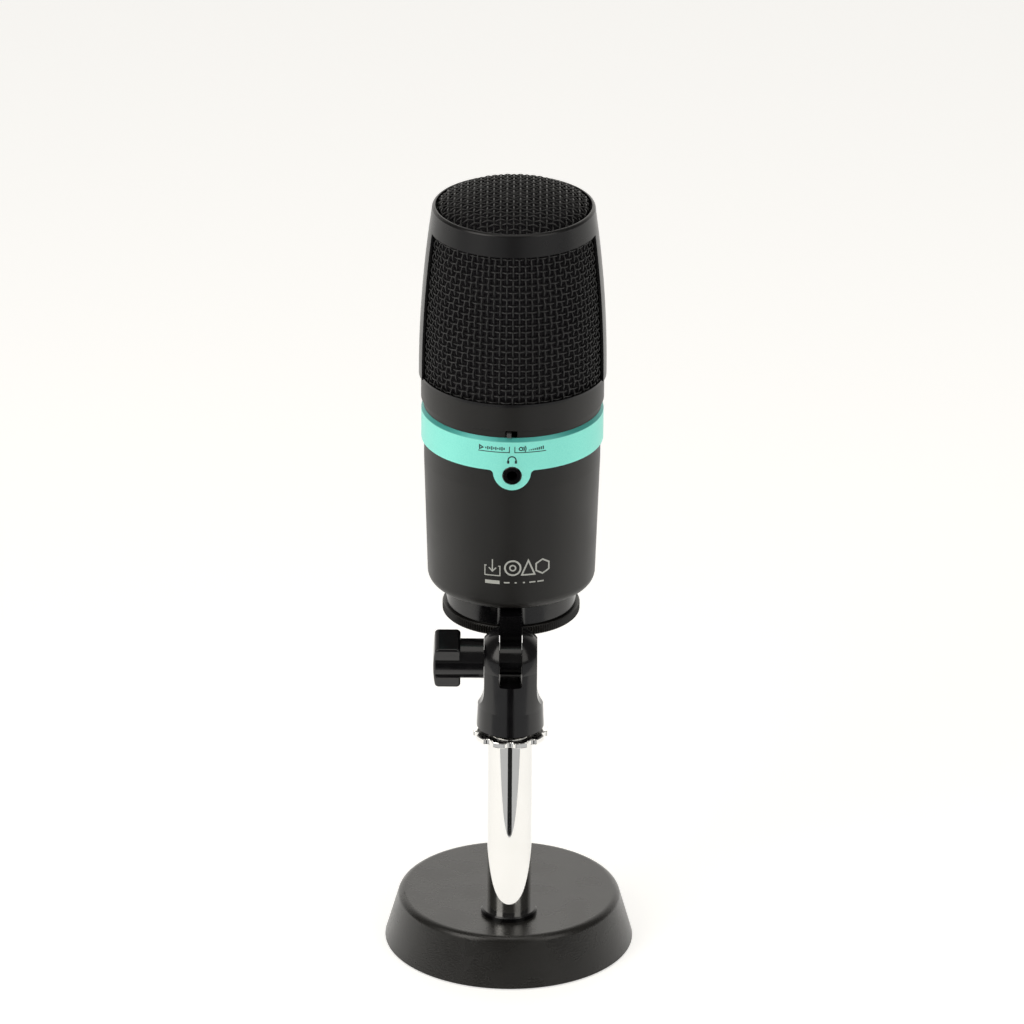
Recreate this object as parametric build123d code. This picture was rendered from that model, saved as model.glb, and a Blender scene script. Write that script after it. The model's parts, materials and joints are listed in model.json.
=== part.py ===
"""Desktop microphone on a round weighted base, with a tilting swivel mount.

Millimetres. The origin is the middle of the base's underside and +Z is up. The headphone
jack and the monitor switch are on the -Y side; volume, mute and light are on the +Y side.
"""
from math import cos, pi, radians, sin, tan
import os

from build123d import *

# ---- driving dimensions ------------------------------------------------------------
# base and stand
BASE_FOOT_R = 44.2
BASE_TOP_R = 39.1
BASE_H = 18.2
BASE_EDGE = 2.6
BASE_WALL = 2.1
PAD_H = 1.0
TUBE_Y = -17.5
TUBE_R = 7.8
TUBE_WALL = 1.2
TUBE_TOP = 100.0
THREAD_PITCH = 0.94
THREAD_DEPTH = 0.45
NUT_R = 13.3
NUT_Z = 88.0
NUT_H = 2.0
NUT_LOBES = 10
# swivel fork, knob and bracket, all about the tilt axis
FORK_Z = 91.3
FORK_FOOT_R = 11.85
FORK_TOP_R = 11.5
SHOULDER_Z = 99.8
FLARE = (9.75, 103.5)   # middle of the hollow curve from shoulder to neck
NECK_Z = 107.5
NECK_R = 9.15
EAR_X = 9.3
PIVOT_Z = 117.0
BALL_R = 12.0
SLOT_W = 8.2
SLOT_Z = 110.6
TONGUE_R = 5.7
ARM_W = 7.7
ARM_FRONT = 4.2
ARM_BACK = 10.7
BOLT_R = 2.95
STEM_R = 7.0
STEM_END = -26.4
WING_END = -27.2
WING_START = -17.6
WING_HALF = 9.2
WING_HALF_T = 5.5
WING_CROWN = 60.0
WING_LEAN = 20.0
# microphone, all about its own upright axis
MIC_Y = 18.0
NECK_TUBE_R = 18.9
RING_R = 24.3
RING_Z = 120.3
RING_H = 3.4
RING_RIBS = 165
COLLAR_R = 22.9
COLLAR_TOP = 131.3
BODY_Z = 132.2
BODY_FOOT_R = 29.6
BODY_R = 31.0
BODY_EDGE = 4.0
BODY_TOP = 199.5
BODY_WALL = 2.4
ACCENT_R = 32.0
ACCENT_Z = 187.3
ACCENT_BEVEL = 0.8
ACCENT_BEVEL_H = 1.35
LOBE_R = 6.6
LOBE_Z = 186.6
JACK_Z = 185.5
JACK_BORE_R = 1.8
BUSH_R = 3.4
BAND_NECK_R = 31.1
BAND_R = 32.1
BAND_STEP_Z = 202.0
BAND_TOP = 211.5
SWITCH_LEFT = -2.4
SWITCH_RIGHT = 1.8
LEVER_LEFT = -1.9
LEVER_W = 1.6
GRILLE_TOP = 266.3
STRIP_ARC = ((32.9, BAND_TOP), (32.1, 238.0), (29.4, GRILLE_TOP))
STRIP_PROUD = 0.9
STRIP_HALF_ANGLE = 15.0
MESH_T = 1.0
RIM_TOP = 274.4
RIM_R = 28.5
RIM_ROUND = 1.2
RIM_HOLE_R = 27.3
CAP_R = 27.1
CAP_FOOT_Z = 269.9
CAP_Z = 272.5       # where the dome starts
CAP_RISE = 7.0
CAP_POWER = 2.3
CAP_STEPS = 12
# controls on the front
VOLUME_Z = 163.0
VOLUME_R = 8.0
VOLUME_FACE = 56.0
SHAFT_R = 2.4
MUTE_Z = 146.0
MUTE_R = 4.2
LIGHT_Z = 176.0
BOARD_Y = 38.4
BOARD_T = 1.6

FIT = 0.06          # radial clearance of a running fit
UP = (Align.CENTER, Align.CENTER, Align.MIN)
STAND = (0.0, TUBE_Y)
MIC = (0.0, MIC_Y)
BODY_INSIDE_R = BODY_R - BODY_WALL
FITTINGS_Y = MIC_Y - BODY_INSIDE_R + 0.7      # front of the pieces behind the curved wall
CONTROLS_Y = BOARD_Y + BOARD_T


# ---- shape helpers -----------------------------------------------------------------
def disc(radius, low, high, at=(0.0, 0.0)):
    """Upright cylinder between two heights."""
    return Pos(at[0], at[1], low) * Cylinder(radius, high - low, align=UP)


def tube(outer, inner, low, high, at=(0.0, 0.0)):
    """Upright tube between two heights."""
    return disc(outer, low, high, at) - disc(inner, low - 1, high + 1, at)


def block(low, high):
    """Box between two corners."""
    size = [b - a for a, b in zip(low, high)]
    middle = [(a + b) / 2 for a, b in zip(low, high)]
    return Pos(*middle) * Box(*size)


def rod_x(radius, x0, x1, y, z):
    """Cylinder along X."""
    return Pos((x0 + x1) / 2, y, z) * Rot(0, 90, 0) * Cylinder(radius, abs(x1 - x0))


def rod_y(radius, y0, y1, x, z):
    """Cylinder along Y."""
    return Pos(x, (y0 + y1) / 2, z) * Rot(90, 0, 0) * Cylinder(radius, abs(y1 - y0))


def hex_x(across, x0, x1, y, z):
    """Hexagonal bar along X."""
    bar = extrude(RegularPolygon(across / 2, 6, major_radius=False), abs(x1 - x0))
    return Pos(min(x0, x1), y, z) * Rot(0, 90, 0) * bar


def turned(points, at=(0.0, 0.0)):
    """Solid of revolution about an upright axis, from (radius, height) corners."""
    outline = Plane.XZ * Polyline(*points, close=True)
    return Pos(at[0], at[1], 0) * revolve(make_face(outline), Axis.Z)


def turned_face(edges, at=(0.0, 0.0)):
    """Solid of revolution about an upright axis, from joined (radius, height) edges."""
    outline = Plane.XZ * (Curve() + edges)
    return Pos(at[0], at[1], 0) * revolve(make_face(outline.edges()), Axis.Z)


# ---- base and stand ----------------------------------------------------------------
def base_shell():
    inside_top = BASE_H - BASE_WALL - 0.3
    shell = turned([(0, inside_top), (BASE_TOP_R - BASE_WALL + 0.4, inside_top),
                    (BASE_FOOT_R - BASE_WALL, PAD_H / 2), (BASE_FOOT_R, PAD_H / 2),
                    (BASE_TOP_R, BASE_H), (0, BASE_H)])
    rim = shell.edges().filter_by(GeomType.CIRCLE).sort_by(Axis.Z)[-1]
    return fillet(rim, BASE_EDGE) - disc(4.2, 0, BASE_H + 1, STAND)


def base_weight():
    top = BASE_H - BASE_WALL - 0.3
    slug = turned([(0, PAD_H), (BASE_FOOT_R - 2.8, PAD_H), (BASE_TOP_R - 2.3, top), (0, top)])
    return slug - disc(8.3, 0, 8.0, STAND) - disc(4.2, 0, BASE_H, STAND)


def base_pad():
    return disc(BASE_FOOT_R - BASE_WALL - 0.4, 0, PAD_H)


def foot_bolt():
    head = Pos(0, TUBE_Y, 1.6) * extrude(RegularPolygon(6.5, 6, major_radius=False), 4.8)
    return head + disc(3.95, 6.4, 28.0, STAND)


def foot_washer():
    return tube(7.9, 4.0, 6.4, 8.0, STAND)


def foot_flange():
    ring = tube(9.9, TUBE_R, BASE_H, BASE_H + 1.9, STAND)
    top_edges = ring.edges().filter_by(GeomType.CIRCLE).sort_by(Axis.Z)[-2:]
    return chamfer(top_edges.sort_by(SortBy.RADIUS)[-1], 0.5)


def tube_plug():
    return tube(TUBE_R - TUBE_WALL, 4.0, BASE_H, BASE_H + 12.0, STAND)


def stand_tube():
    outline = [(TUBE_R - TUBE_WALL, BASE_H), (TUBE_R, BASE_H), (TUBE_R, NUT_Z)]
    z = NUT_Z
    while z + THREAD_PITCH < TUBE_TOP - 0.5:
        outline += [(TUBE_R, z + 0.1), (TUBE_R - THREAD_DEPTH, z + THREAD_PITCH / 2),
                    (TUBE_R, z + THREAD_PITCH - 0.1)]
        z += THREAD_PITCH
    outline += [(TUBE_R, TUBE_TOP - 0.5), (TUBE_R - 0.5, TUBE_TOP), (TUBE_R - TUBE_WALL, TUBE_TOP)]
    return turned(outline, STAND)


def lock_nut():
    nut = disc(NUT_R, NUT_Z, NUT_Z + NUT_H, STAND)
    step = 360.0 / NUT_LOBES
    for number in range(NUT_LOBES):
        angle = radians(-90 + number * step)
        scoop_at = (1.06 * NUT_R * cos(angle), TUBE_Y + 1.06 * NUT_R * sin(angle))
        nut -= disc(2.05, NUT_Z - 1, NUT_Z + NUT_H + 1, scoop_at)
    nut = fillet(nut.edges().filter_by(Axis.Z), 0.5)
    rims = nut.faces().sort_by(Axis.Z)
    nut = chamfer(rims[-1].outer_wire().edges() + rims[0].outer_wire().edges(), 0.25)
    return nut - disc(TUBE_R + FIT, NUT_Z - 1, NUT_Z + NUT_H + 1, STAND)


# ---- swivel mount ------------------------------------------------------------------
def swivel_fork():
    """Two-eared fork: round neck behind, a full-width rounded face in front."""
    shoulder, neck = (FORK_TOP_R, SHOULDER_Z), (NECK_R, NECK_Z)
    edges = [Line((0, FORK_Z), (FORK_FOOT_R - 0.4, FORK_Z)),
             Line((FORK_FOOT_R - 0.4, FORK_Z), (FORK_FOOT_R, FORK_Z + 0.4)),
             Line((FORK_FOOT_R, FORK_Z + 0.4), shoulder),
             ThreePointArc(shoulder, FLARE, neck),
             Line(neck, (NECK_R, PIVOT_Z)),
             Line((NECK_R, PIVOT_Z), (0, PIVOT_Z)),
             Line((0, PIVOT_Z), (0, FORK_Z))]
    fork = turned_face(edges, STAND)
    low = SHOULDER_Z
    face = turned([(0, low), (FORK_TOP_R, low), (BALL_R - 0.1, PIVOT_Z + 0.5), (0, PIVOT_Z + 0.5)], STAND)
    wide = FLARE[0] + 0.12
    flank = [Line((0, low), (FORK_TOP_R + 0.2, low)),
             ThreePointArc((FORK_TOP_R + 0.2, low), (wide, FLARE[1]), (EAR_X - 0.02, NECK_Z)),
             Line((EAR_X - 0.02, NECK_Z), (EAR_X - 0.02, PIVOT_Z + 0.5)),
             Line((EAR_X - 0.02, PIVOT_Z + 0.5), (0, PIVOT_Z + 0.5)), Line((0, PIVOT_Z + 0.5), (0, low))]
    flank = Plane.XZ * make_face((Curve() + flank).edges())
    right = Pos(0, TUBE_Y, 0) * extrude(flank, BALL_R + 1)
    for half in (right, mirror(right, Plane.YZ)):
        fork += face & half
    ball = Pos(0, TUBE_Y, PIVOT_Z) * Sphere(BALL_R)
    sides = block((-EAR_X, TUBE_Y - 15, PIVOT_Z - 15), (EAR_X, TUBE_Y + 15, PIVOT_Z + 15))
    fork += ball & sides
    slot = block((-SLOT_W / 2, TUBE_Y - 20, SLOT_Z), (SLOT_W / 2, TUBE_Y + 20, PIVOT_Z + 20))
    slot = fillet(slot.edges().filter_by(Axis.Y).sort_by(Axis.Z)[:2], 0.9)
    fork -= slot
    fork -= rod_x(BOLT_R + FIT, -12, 12, TUBE_Y, PIVOT_Z)
    fork -= hex_x(10.0, EAR_X - 4.0, 12, TUBE_Y, PIVOT_Z)
    fork -= disc(9.8, FORK_Z + 1.8, FORK_Z + 9.7, STAND)
    return fork - disc(TUBE_R + 0.4, FORK_Z - 1, FORK_Z + 12.0, STAND)


def thread_insert():
    return tube(9.8, TUBE_R + FIT, FORK_Z + 1.8, FORK_Z + 9.7, STAND)


def captive_nut():
    nut = hex_x(9.9, EAR_X - 4.0, EAR_X - 0.4, TUBE_Y, PIVOT_Z)
    return nut - rod_x(BOLT_R + FIT, 0, 12, TUBE_Y, PIVOT_Z)


def friction_washers():
    inner = ARM_W / 2 + 0.06
    right = rod_x(5.6, inner, SLOT_W / 2, TUBE_Y, PIVOT_Z) - rod_x(BOLT_R + FIT, 0, 9, TUBE_Y, PIVOT_Z)
    return Compound(children=[right, mirror(right, Plane.YZ)])


def clamp_knob():
    """Square wing, leaning forward, on a round hub that runs on to the fork's ear."""
    wing = block((WING_END, -WING_HALF_T, -WING_HALF), (WING_START, WING_HALF_T, WING_HALF))
    wing &= rod_y(WING_CROWN, -10, 10, WING_END + WING_CROWN, 0)
    wing = fillet(wing.edges().filter_by(Axis.Y), 1.5)
    wing = fillet(wing.faces().sort_by(Axis.Y)[0].outer_wire().edges(), 0.8)
    wing = fillet(wing.faces().sort_by(Axis.Y)[-1].outer_wire().edges(), 0.8)
    wing = Pos(0, TUBE_Y, PIVOT_Z) * Rot(WING_LEAN, 0, 0) * wing
    knob = wing + rod_x(STEM_R, STEM_END, -EAR_X - 0.1, TUBE_Y, PIVOT_Z)
    return knob - rod_x(BOLT_R, -24.0, 0, TUBE_Y, PIVOT_Z)


def clamp_bolt():
    return rod_x(BOLT_R, -24.0, EAR_X - 0.6, TUBE_Y, PIVOT_Z)


def swivel_bracket():
    collar_low = RING_Z + RING_H + 0.2
    plan = Pos(0, MIC_Y) * Circle(COLLAR_R)
    front = TUBE_Y + ARM_FRONT
    plan += Pos(0, (front + MIC_Y - 10) / 2) * Rectangle(ARM_W, MIC_Y - 10 - front)
    corners = plan.vertices().filter_by_position(Axis.Y, front + 2, MIC_Y - 12)
    plan = fillet(corners, 2.2)
    plan -= Pos(0, MIC_Y) * Circle(NECK_TUBE_R + 0.3)
    bracket = Pos(0, 0, collar_low) * extrude(plan, COLLAR_TOP - collar_low)
    side = Plane.YZ * Polyline(
        (TUBE_Y + ARM_FRONT, COLLAR_TOP - 1), (TUBE_Y + ARM_BACK, COLLAR_TOP - 1),
        (TUBE_Y + ARM_BACK, PIVOT_Z + 2.6), (TUBE_Y + 3.0, PIVOT_Z - 4.8),
        (TUBE_Y, PIVOT_Z), (TUBE_Y + ARM_FRONT, PIVOT_Z + 4.3), close=True)
    bracket += extrude(make_face(side), ARM_W / 2, both=True)
    bracket += rod_x(TONGUE_R, -ARM_W / 2, ARM_W / 2, TUBE_Y, PIVOT_Z)
    return bracket - rod_x(BOLT_R + FIT, -12, 12, TUBE_Y, PIVOT_Z)


# ---- lower microphone --------------------------------------------------------------
def retaining_ring():
    """Ring nut with fine upright ribs round its edge."""
    step = pi / RING_RIBS
    outline = [(radius * cos((2 * number + shift) * step), radius * sin((2 * number + shift) * step))
               for number in range(RING_RIBS)
               for shift, radius in ((0.0, RING_R), (1.0, RING_R - 0.4))]
    ribbed = extrude(make_face(Polyline(*outline, close=True)), RING_H)
    bevel = 0.5
    envelope = turned([(0, 0), (RING_R - bevel, 0), (RING_R, bevel), (RING_R, RING_H - bevel),
                       (RING_R - bevel, RING_H), (0, RING_H)])
    ring = Pos(0, MIC_Y, RING_Z) * (ribbed & envelope)
    return ring - disc(NECK_TUBE_R + FIT, RING_Z - 1, RING_Z + RING_H + 1, MIC)


def collar_washer():
    return tube(21.6, NECK_TUBE_R, COLLAR_TOP, BODY_Z, MIC)


def threaded_neck():
    inner = NECK_TUBE_R - 2.4
    neck = turned([(0, RING_Z - 1.3), (NECK_TUBE_R - 0.6, RING_Z - 1.3), (NECK_TUBE_R, RING_Z - 0.7),
                   (NECK_TUBE_R, BODY_Z + 2.5), (24.0, BODY_Z + 2.5), (24.0, BODY_Z + 4.8),
                   (inner, BODY_Z + 4.8), (inner, RING_Z + 0.9), (0, RING_Z + 0.9)], MIC)
    return neck - block((-4.6, MIC_Y - 1.7, RING_Z - 2), (4.6, MIC_Y + 1.7, RING_Z + 3))


def usb_socket():
    low, high = RING_Z - 1.2, RING_Z + 7.0
    shell = block((-4.5, MIC_Y - 1.6, low), (4.5, MIC_Y + 1.6, high))
    shell -= block((-4.15, MIC_Y - 1.25, low - 1), (4.15, MIC_Y + 1.25, high - 1.5))
    return shell + block((-3.3, MIC_Y - 0.35, low + 0.8), (3.3, MIC_Y + 0.35, high - 1))


def lower_housing():
    edges = [Line((NECK_TUBE_R, BODY_Z), (BODY_FOOT_R - BODY_EDGE, BODY_Z)),
             RadiusArc((BODY_FOOT_R - BODY_EDGE, BODY_Z), (BODY_FOOT_R, BODY_Z + BODY_EDGE), -BODY_EDGE),
             Line((BODY_FOOT_R, BODY_Z + BODY_EDGE), (BODY_R, ACCENT_Z - 8)),
             Line((BODY_R, ACCENT_Z - 8), (BODY_R, BODY_TOP)),
             Line((BODY_R, BODY_TOP), (BODY_INSIDE_R, BODY_TOP)),
             Line((BODY_INSIDE_R, BODY_TOP), (BODY_INSIDE_R, BODY_Z + 60)),
             Line((BODY_INSIDE_R, BODY_Z + 60), (BODY_FOOT_R - BODY_WALL, BODY_Z + 8)),
             Line((BODY_FOOT_R - BODY_WALL, BODY_Z + 8), (BODY_FOOT_R - 5.5, BODY_Z + 2.5)),
             Line((BODY_FOOT_R - 5.5, BODY_Z + 2.5), (NECK_TUBE_R, BODY_Z + 2.5)),
             Line((NECK_TUBE_R, BODY_Z + 2.5), (NECK_TUBE_R, BODY_Z))]
    body = turned_face(edges, MIC)
    body -= rod_y(BUSH_R + 0.05, MIC_Y - 40, MIC_Y - 20, 0, JACK_Z)
    body -= rod_y(3.55, MIC_Y + 20, MIC_Y + 40, 0, VOLUME_Z)
    body -= rod_y(MUTE_R + 0.15, MIC_Y + 20, MIC_Y + 40, 0, MUTE_Z)
    return body - rod_y(1.25, MIC_Y + 20, MIC_Y + 40, 0, LIGHT_Z)


def accent_ring():
    """Coloured ring with a bevelled top edge and a rounded lobe round the jack."""
    band = turned([(BODY_R, 175), (ACCENT_R, 175), (ACCENT_R, BODY_TOP - ACCENT_BEVEL_H),
                   (ACCENT_R - ACCENT_BEVEL, BODY_TOP), (BODY_R, BODY_TOP)], MIC)
    lobe = Rectangle(90, BODY_TOP - ACCENT_Z, align=(Align.CENTER, Align.MIN))
    lobe += Pos(0, LOBE_Z - ACCENT_Z) * Circle(LOBE_R)
    lobe = fillet(lobe.vertices().filter_by_position(Axis.X, -10, 10), 1.6)
    front = extrude(Plane.XZ * lobe, 60)
    front = Pos(0, MIC_Y, ACCENT_Z) * front
    back = block((-45, MIC_Y, ACCENT_Z), (45, MIC_Y + 60, BODY_TOP))
    ring = band & (front + back)
    return ring - rod_y(BUSH_R + 0.05, MIC_Y - 40, MIC_Y - 20, 0, JACK_Z)


def jack_bushing():
    front = MIC_Y - ACCENT_R - 0.2
    bush = rod_y(BUSH_R, front, FITTINGS_Y, 0, JACK_Z)
    rim = bush.edges().filter_by(GeomType.CIRCLE).sort_by(Axis.Y)[0]
    bush = chamfer(rim, 0.3)
    return bush - rod_y(JACK_BORE_R, front - 1, FITTINGS_Y + 1, 0, JACK_Z)


def headphone_jack():
    face = FITTINGS_Y
    body = block((-4.5, face, JACK_Z - 3.6), (4.5, face + 13.0, JACK_Z + 3.6))
    return body - rod_y(JACK_BORE_R, face - 1, face + 12.0, 0, JACK_Z)


def jack_board():
    front = FITTINGS_Y + 2.0
    return block((-8.0, front, JACK_Z - 5.2), (8.0, front + 18.0, JACK_Z - 3.6))


def switch_body():
    front = FITTINGS_Y
    low = BODY_TOP - 1.0
    body = block((-4.5, front, low), (4.5, front + 4.5, low + 4.6))
    groove = block((LEVER_LEFT - 0.3, front - 1, BODY_TOP + 0.1), (SWITCH_RIGHT + 0.3, front + 2, BODY_TOP + 2.4))
    return body - groove


def switch_lever():
    front = MIC_Y - ACCENT_R - 0.3
    low = BODY_TOP + 0.4
    tip = block((LEVER_LEFT, front, low), (LEVER_LEFT + LEVER_W, FITTINGS_Y + 1.4, low + 1.7))
    return fillet(tip.faces().sort_by(Axis.Y)[0].outer_wire().edges(), 0.2)


def neck_screws():
    """Three screws that hold the neck's flange to the housing's floor."""
    screws = []
    for number in range(3):
        angle = radians(30 + 120 * number)
        at = (21.6 * cos(angle), MIC_Y + 21.6 * sin(angle))
        screws.append(disc(2.2, BODY_Z + 4.8, BODY_Z + 6.4, at))
    return Compound(children=screws)


# ---- boards and front controls -----------------------------------------------------
def main_board():
    return block((-19.0, MIC_Y + 6.0, BODY_Z + 6.8), (19.0, MIC_Y + 6.0 + BOARD_T, BODY_TOP - 4.0))


def board_bracket():
    foot = block((-12, MIC_Y + 7.6, BODY_Z + 4.8), (12, MIC_Y + 16.0, BODY_Z + 6.4))
    return foot + block((-12, MIC_Y + 7.6, BODY_Z + 4.8), (12, MIC_Y + 9.2, BODY_Z + 17.0))


def board_screws():
    """Two pan-head screws through the main board into its bracket."""
    heads = [rod_y(2.0, MIC_Y + 4.7, MIC_Y + 6.0, x, BODY_Z + 12.5) for x in (-8.5, 8.5)]
    return Compound(children=heads)


def board_chips():
    """Converter chip, clock and two capacitors on the main board."""
    face = MIC_Y + 6.0
    chips = [block((-5, face - 1.2, 168), (5, face, 178)), block((-14, face - 1.4, 160), (-9, face, 163.5)),
             rod_y(3.0, face - 6.0, face, 11.0, 158.0), rod_y(3.0, face - 6.0, face, 11.0, 166.5)]
    return Compound(children=chips)


def control_board():
    return block((-11, BOARD_Y, MUTE_Z - 7), (11, CONTROLS_Y, LIGHT_Z + 6))


def volume_pot():
    back = CONTROLS_Y
    pot = block((-6, back, VOLUME_Z - 6), (6, back + 4.6, VOLUME_Z + 6))
    pot += rod_y(3.45, back + 4.0, MIC_Y + BODY_R + 0.4, 0, VOLUME_Z)
    return pot - rod_y(SHAFT_R + FIT, back + 1.0, MIC_Y + 40, 0, VOLUME_Z)


def volume_shaft():
    return rod_y(SHAFT_R, CONTROLS_Y + 1.2, VOLUME_FACE - 2.0, 0, VOLUME_Z)


def volume_knob():
    back = MIC_Y + BODY_R + 0.8
    plan = Circle(VOLUME_R)
    for number in range(24):
        angle = radians(15 * number)
        plan -= Pos(1.03 * VOLUME_R * cos(angle), 1.03 * VOLUME_R * sin(angle)) * Circle(0.5)
    knob = Pos(0, VOLUME_FACE, VOLUME_Z) * extrude(Plane.XZ * plan, VOLUME_FACE - back)
    pointer = block((-0.4, VOLUME_FACE - 0.4, VOLUME_Z + 2.5), (0.4, VOLUME_FACE + 1, VOLUME_Z + 6.5))
    return knob - pointer - rod_y(SHAFT_R, back - 1, VOLUME_FACE - 2.0, 0, VOLUME_Z)


def mute_switch():
    return block((-3, CONTROLS_Y, MUTE_Z - 3), (3, CONTROLS_Y + 3.4, MUTE_Z + 3))


def mute_button():
    inside = CONTROLS_Y + 4.2
    face = MIC_Y + BODY_R + 0.9
    button = rod_y(MUTE_R, inside, face, 0, MUTE_Z)
    return fillet(button.edges().filter_by(GeomType.CIRCLE).sort_by(Axis.Y)[-1], 0.6)


def light_pipe():
    return rod_y(1.2, CONTROLS_Y, MIC_Y + BODY_R, 0, LIGHT_Z)


# ---- grille and capsule ------------------------------------------------------------
def barrel(proud, thickness, low, high):
    """Barrel-shaped wall that follows the grille's side, set in or out by a distance."""
    foot, middle, top = [(radius + proud, z) for radius, z in STRIP_ARC]
    inner = [(radius - thickness, z) for radius, z in (foot, middle, top)]
    edges = [ThreePointArc(foot, middle, top), Line(top, inner[2]),
             ThreePointArc(inner[2], inner[1], inner[0]), Line(inner[0], foot)]
    wall = turned_face(edges, MIC)
    return wall & disc(60, low, high, MIC)


def lower_band():
    inner = BAND_NECK_R - 2.7
    band = turned([(inner, BODY_TOP), (BAND_NECK_R, BODY_TOP), (BAND_NECK_R, BAND_STEP_Z),
                   (BAND_R, BAND_STEP_Z + 0.5), (BAND_R, BAND_TOP), (inner, BAND_TOP)], MIC)
    notch_top = BODY_TOP + 2.5
    return band - block((SWITCH_LEFT, MIC_Y - 40, BODY_TOP - 1), (SWITCH_RIGHT, MIC_Y - 20, notch_top))


def capsule_plate():
    plate = disc(BAND_NECK_R - 2.7, 205.0, 207.5, MIC)
    return plate - disc(3.0, 204, 208, (12.0, MIC_Y))


def grille_frame():
    """Two upright side strips joined by a rim at the foot."""
    strips = barrel(0.0, STRIP_PROUD, BAND_TOP, GRILLE_TOP)
    reach = 60 * tan(radians(STRIP_HALF_ANGLE))
    wedge = make_face(Polyline((0, 0), (60, reach), (60, -reach), close=True))
    right = Pos(0, MIC_Y, BAND_TOP) * extrude(wedge, GRILLE_TOP - BAND_TOP)
    strips = strips & (right + mirror(right, Plane.YZ))
    return strips + barrel(-0.4, STRIP_PROUD - 0.4, BAND_TOP, BAND_TOP + 0.9)


def body_mesh():
    return barrel(-STRIP_PROUD, MESH_T, BAND_TOP, GRILLE_TOP)


def top_band():
    """Tapered band with a rounded upper edge round the cap's opening."""
    foot = (STRIP_ARC[2][0], GRILLE_TOP)
    side_top, flat = RIM_TOP - RIM_ROUND, RIM_R - RIM_ROUND + 0.35
    bulge = (RIM_R - 0.26 * RIM_ROUND, RIM_TOP - 0.28 * RIM_ROUND)
    edges = [Line((RIM_HOLE_R, GRILLE_TOP), foot),
             Line(foot, (RIM_R, side_top)),
             ThreePointArc((RIM_R, side_top), bulge, (flat, RIM_TOP)),
             Line((flat, RIM_TOP), (RIM_HOLE_R, RIM_TOP)),
             Line((RIM_HOLE_R, RIM_TOP), (RIM_HOLE_R, GRILLE_TOP))]
    return turned_face(edges, MIC)


def dome(radius, rise):
    """Corners of the cap's flattened dome, from its middle out to its upright edge."""
    shares = [sin(pi / 2 * number / CAP_STEPS) for number in range(CAP_STEPS)]
    points = [(radius * share, CAP_Z + rise * (1 - share ** CAP_POWER) ** (1 / CAP_POWER)) for share in shares]
    return points + [(radius, CAP_Z)]


def cap_mesh():
    outer, inner = dome(CAP_R, CAP_RISE), dome(CAP_R - MESH_T, CAP_RISE - MESH_T)
    foot_out, foot_in = (CAP_R, CAP_FOOT_Z), (CAP_R - MESH_T, CAP_FOOT_Z)
    edges = [Spline(*outer, tangents=((1, 0), (0, -1))), Line(outer[-1], foot_out),
             Line(foot_out, foot_in), Line(foot_in, inner[-1]),
             Spline(*inner[::-1], tangents=((0, 1), (-1, 0))), Line(inner[0], outer[0])]
    return turned_face(edges, MIC)


def foam_liner():
    outer = STRIP_ARC[0][0] - STRIP_PROUD - MESH_T - 0.6
    return turned([(outer - 2.6, BAND_TOP), (outer, BAND_TOP), (outer - 0.8, 238), (26.9, 265),
                   (25.6, 269.6), (22.0, 274.8), (16.0, 276.8), (0, 277.9), (0, 275.4), (15.0, 274.4),
                   (20.4, 272.6), (23.4, 268.4), (24.4, 264), (outer - 3.4, 238)], MIC)


def capsule_post():
    return disc(6.0, 207.5, 222.0, MIC)


def shock_bush():
    return turned([(0, 222), (9, 222), (9, 223.2), (7.2, 224), (7.2, 225.6), (9, 226.4), (9, 227.6), (0, 227.6)], MIC)


def capsule_cradle():
    cradle = block((-15.6, MIC_Y - 4, 227.6), (15.6, MIC_Y + 4, 229.8))
    for x in (-15.6, 13.6):
        cradle += block((x, MIC_Y - 4, 227.6), (x + 2.0, MIC_Y + 4, 249.0))
    return cradle


def capsule():
    body = rod_y(13.0, MIC_Y - 5.5, MIC_Y + 5.5, 0, 245.0)
    edges = body.edges().filter_by(GeomType.CIRCLE)
    return fillet(edges, 1.2)


def capsule_screens():
    """Perforated discs on the capsule's two faces."""
    front = rod_y(10.5, MIC_Y - 6.1, MIC_Y - 5.5, 0, 245.0)
    return Compound(children=[front, Pos(0, 11.6, 0) * front])


def cradle_screws():
    heads = [rod_x(1.8, 15.6, 16.8, MIC_Y, 245.0), rod_x(1.8, -16.8, -15.6, MIC_Y, 245.0)]
    return Compound(children=heads)


PIECES = [
    base_pad, base_weight, base_shell, foot_bolt, foot_washer, foot_flange, tube_plug, stand_tube,
    lock_nut, swivel_fork, thread_insert, captive_nut, friction_washers, clamp_knob, clamp_bolt,
    swivel_bracket, retaining_ring, collar_washer, threaded_neck, usb_socket, lower_housing,
    accent_ring, jack_bushing, headphone_jack, jack_board, switch_body, switch_lever, neck_screws,
    main_board, board_bracket, board_screws, board_chips, control_board, volume_pot, volume_shaft,
    volume_knob, mute_switch, mute_button, light_pipe, lower_band, capsule_plate, grille_frame,
    body_mesh, top_band, cap_mesh, foam_liner, capsule_post, shock_bush, capsule_cradle, capsule,
    capsule_screens, cradle_screws,
]

os.makedirs("parts", exist_ok=True)
for make in PIECES:
    solid = make()
    export_step(solid, f"parts/{make.__name__}.step")
    print(f"{make.__name__:18s} {len(solid.solids())} solid(s) {solid.volume:10.1f} mm3")
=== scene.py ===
import json
import math

import bpy
import numpy as np
from mathutils import Matrix, Vector


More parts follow.
